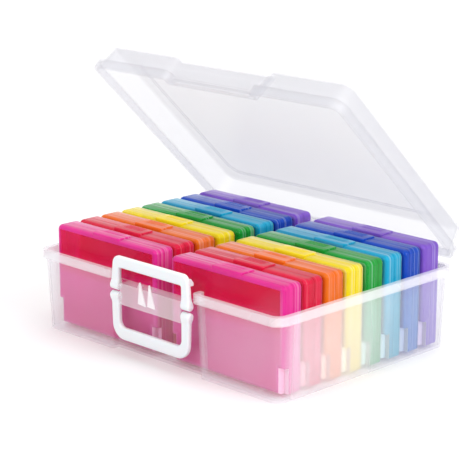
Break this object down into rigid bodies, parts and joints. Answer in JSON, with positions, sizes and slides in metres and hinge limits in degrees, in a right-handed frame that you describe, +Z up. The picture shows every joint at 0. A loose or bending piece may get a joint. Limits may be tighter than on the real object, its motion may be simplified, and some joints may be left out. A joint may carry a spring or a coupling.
{
  "type": "photo storage case",
  "caption": "Clear storage tub with a hinged lid, snap latch and carry handle, filled with upright tinted clamshell cases for photo prints.",
  "frame": {"origin": "middle of the tub's flat underside", "axes": "+Z up, -Y out of the front with the latch and handle, +X to the right seen from the front"},
  "size_m": [0.3822, 0.3065, 0.3156],
  "materials": {
    "tub_plastic": "translucent, milky",
    "lid_plastic": "translucent, clear",
    "white_plastic": "opaque, satin gloss",
    "pink_plastic": "tinted, transparent",
    "red_plastic": "tinted, transparent",
    "orange_plastic": "tinted, transparent",
    "yellow_plastic": "tinted, transparent",
    "green_plastic": "tinted, transparent",
    "teal_plastic": "tinted, transparent",
    "blue_plastic": "tinted, transparent",
    "violet_plastic": "tinted, transparent"
  },
  "bodies": {
    "tub": {"tub": "tub_plastic"},
    "lid": {"lid": "lid_plastic"},
    "latch": {"latch": "white_plastic"},
    "handle": {"carry_handle": "white_plastic"},
    "case_pink_left": {"pink_left_tray": "pink_plastic", "pink_left_cover": "pink_plastic"},
    "case_red_left": {"red_left_tray": "red_plastic", "red_left_cover": "red_plastic"},
    "case_orange_left": {"orange_left_tray": "orange_plastic", "orange_left_cover": "orange_plastic"},
    "case_yellow_left": {"yellow_left_tray": "yellow_plastic", "yellow_left_cover": "yellow_plastic"},
    "case_green_left": {"green_left_tray": "green_plastic", "green_left_cover": "green_plastic"},
    "case_teal_left": {"teal_left_tray": "teal_plastic", "teal_left_cover": "teal_plastic"},
    "case_blue_left": {"blue_left_tray": "blue_plastic", "blue_left_cover": "blue_plastic"},
    "case_violet_left": {"violet_left_tray": "violet_plastic", "violet_left_cover": "violet_plastic"},
    "case_pink_right": {"pink_right_tray": "pink_plastic", "pink_right_cover": "pink_plastic"},
    "case_red_right": {"red_right_tray": "red_plastic", "red_right_cover": "red_plastic"},
    "case_orange_right": {"orange_right_tray": "orange_plastic", "orange_right_cover": "orange_plastic"},
    "case_yellow_right": {"yellow_right_tray": "yellow_plastic", "yellow_right_cover": "yellow_plastic"},
    "case_green_right": {"green_right_tray": "green_plastic", "green_right_cover": "green_plastic"},
    "case_teal_right": {"teal_right_tray": "teal_plastic", "teal_right_cover": "teal_plastic"},
    "case_blue_right": {"blue_right_tray": "blue_plastic", "blue_right_cover": "blue_plastic"},
    "case_violet_right": {"violet_right_tray": "violet_plastic", "violet_right_cover": "violet_plastic"}
  },
  "joints": [
    {"name": "lid_hinge", "type": "hinge", "parent": "tub", "child": "lid", "pos_m": [0, 0.14898, 0.09415], "axis": [-1, 0, 0], "range_deg": [-44.3, 60.7]},
    {"name": "latch_hinge", "type": "hinge", "parent": "tub", "child": "latch", "pos_m": [0, -0.14038, 0.078], "axis": [1, 0, 0], "range_deg": [0, 110]},
    {"name": "handle_hinge", "type": "hinge", "parent": "tub", "child": "handle", "pos_m": [0, -0.14038, 0.067], "axis": [1, 0, 0], "range_deg": [-100, 0]},
    {"name": "lift_pink_left", "type": "slide", "parent": "tub", "child": "case_pink_left", "axis": [0, 0, 1], "range_m": [0, 0.12]},
    {"name": "lift_red_left", "type": "slide", "parent": "tub", "child": "case_red_left", "axis": [0, 0, 1], "range_m": [0, 0.12]},
    {"name": "lift_orange_left", "type": "slide", "parent": "tub", "child": "case_orange_left", "axis": [0, 0, 1], "range_m": [0, 0.12]},
    {"name": "lift_yellow_left", "type": "slide", "parent": "tub", "child": "case_yellow_left", "axis": [0, 0, 1], "range_m": [0, 0.12]},
    {"name": "lift_green_left", "type": "slide", "parent": "tub", "child": "case_green_left", "axis": [0, 0, 1], "range_m": [0, 0.12]},
    {"name": "lift_teal_left", "type": "slide", "parent": "tub", "child": "case_teal_left", "axis": [0, 0, 1], "range_m": [0, 0.09]},
    {"name": "lift_blue_left", "type": "slide", "parent": "tub", "child": "case_blue_left", "axis": [0, 0, 1], "range_m": [0, 0.06]},
    {"name": "lift_violet_left", "type": "slide", "parent": "tub", "child": "case_violet_left", "axis": [0, 0, 1], "range_m": [0, 0.028]},
    {"name": "lift_pink_right", "type": "slide", "parent": "tub", "child": "case_pink_right", "axis": [0, 0, 1], "range_m": [0, 0.12]},
    {"name": "lift_red_right", "type": "slide", "parent": "tub", "child": "case_red_right", "axis": [0, 0, 1], "range_m": [0, 0.12]},
    {"name": "lift_orange_right", "type": "slide", "parent": "tub", "child": "case_orange_right", "axis": [0, 0, 1], "range_m": [0, 0.12]},
    {"name": "lift_yellow_right", "type": "slide", "parent": "tub", "child": "case_yellow_right", "axis": [0, 0, 1], "range_m": [0, 0.12]},
    {"name": "lift_green_right", "type": "slide", "parent": "tub", "child": "case_green_right", "axis": [0, 0, 1], "range_m": [0, 0.12]},
    {"name": "lift_teal_right", "type": "slide", "parent": "tub", "child": "case_teal_right", "axis": [0, 0, 1], "range_m": [0, 0.09]},
    {"name": "lift_blue_right", "type": "slide", "parent": "tub", "child": "case_blue_right", "axis": [0, 0, 1], "range_m": [0, 0.06]},
    {"name": "lift_violet_right", "type": "slide", "parent": "tub", "child": "case_violet_right", "axis": [0, 0, 1], "range_m": [0, 0.028]}
  ]
}
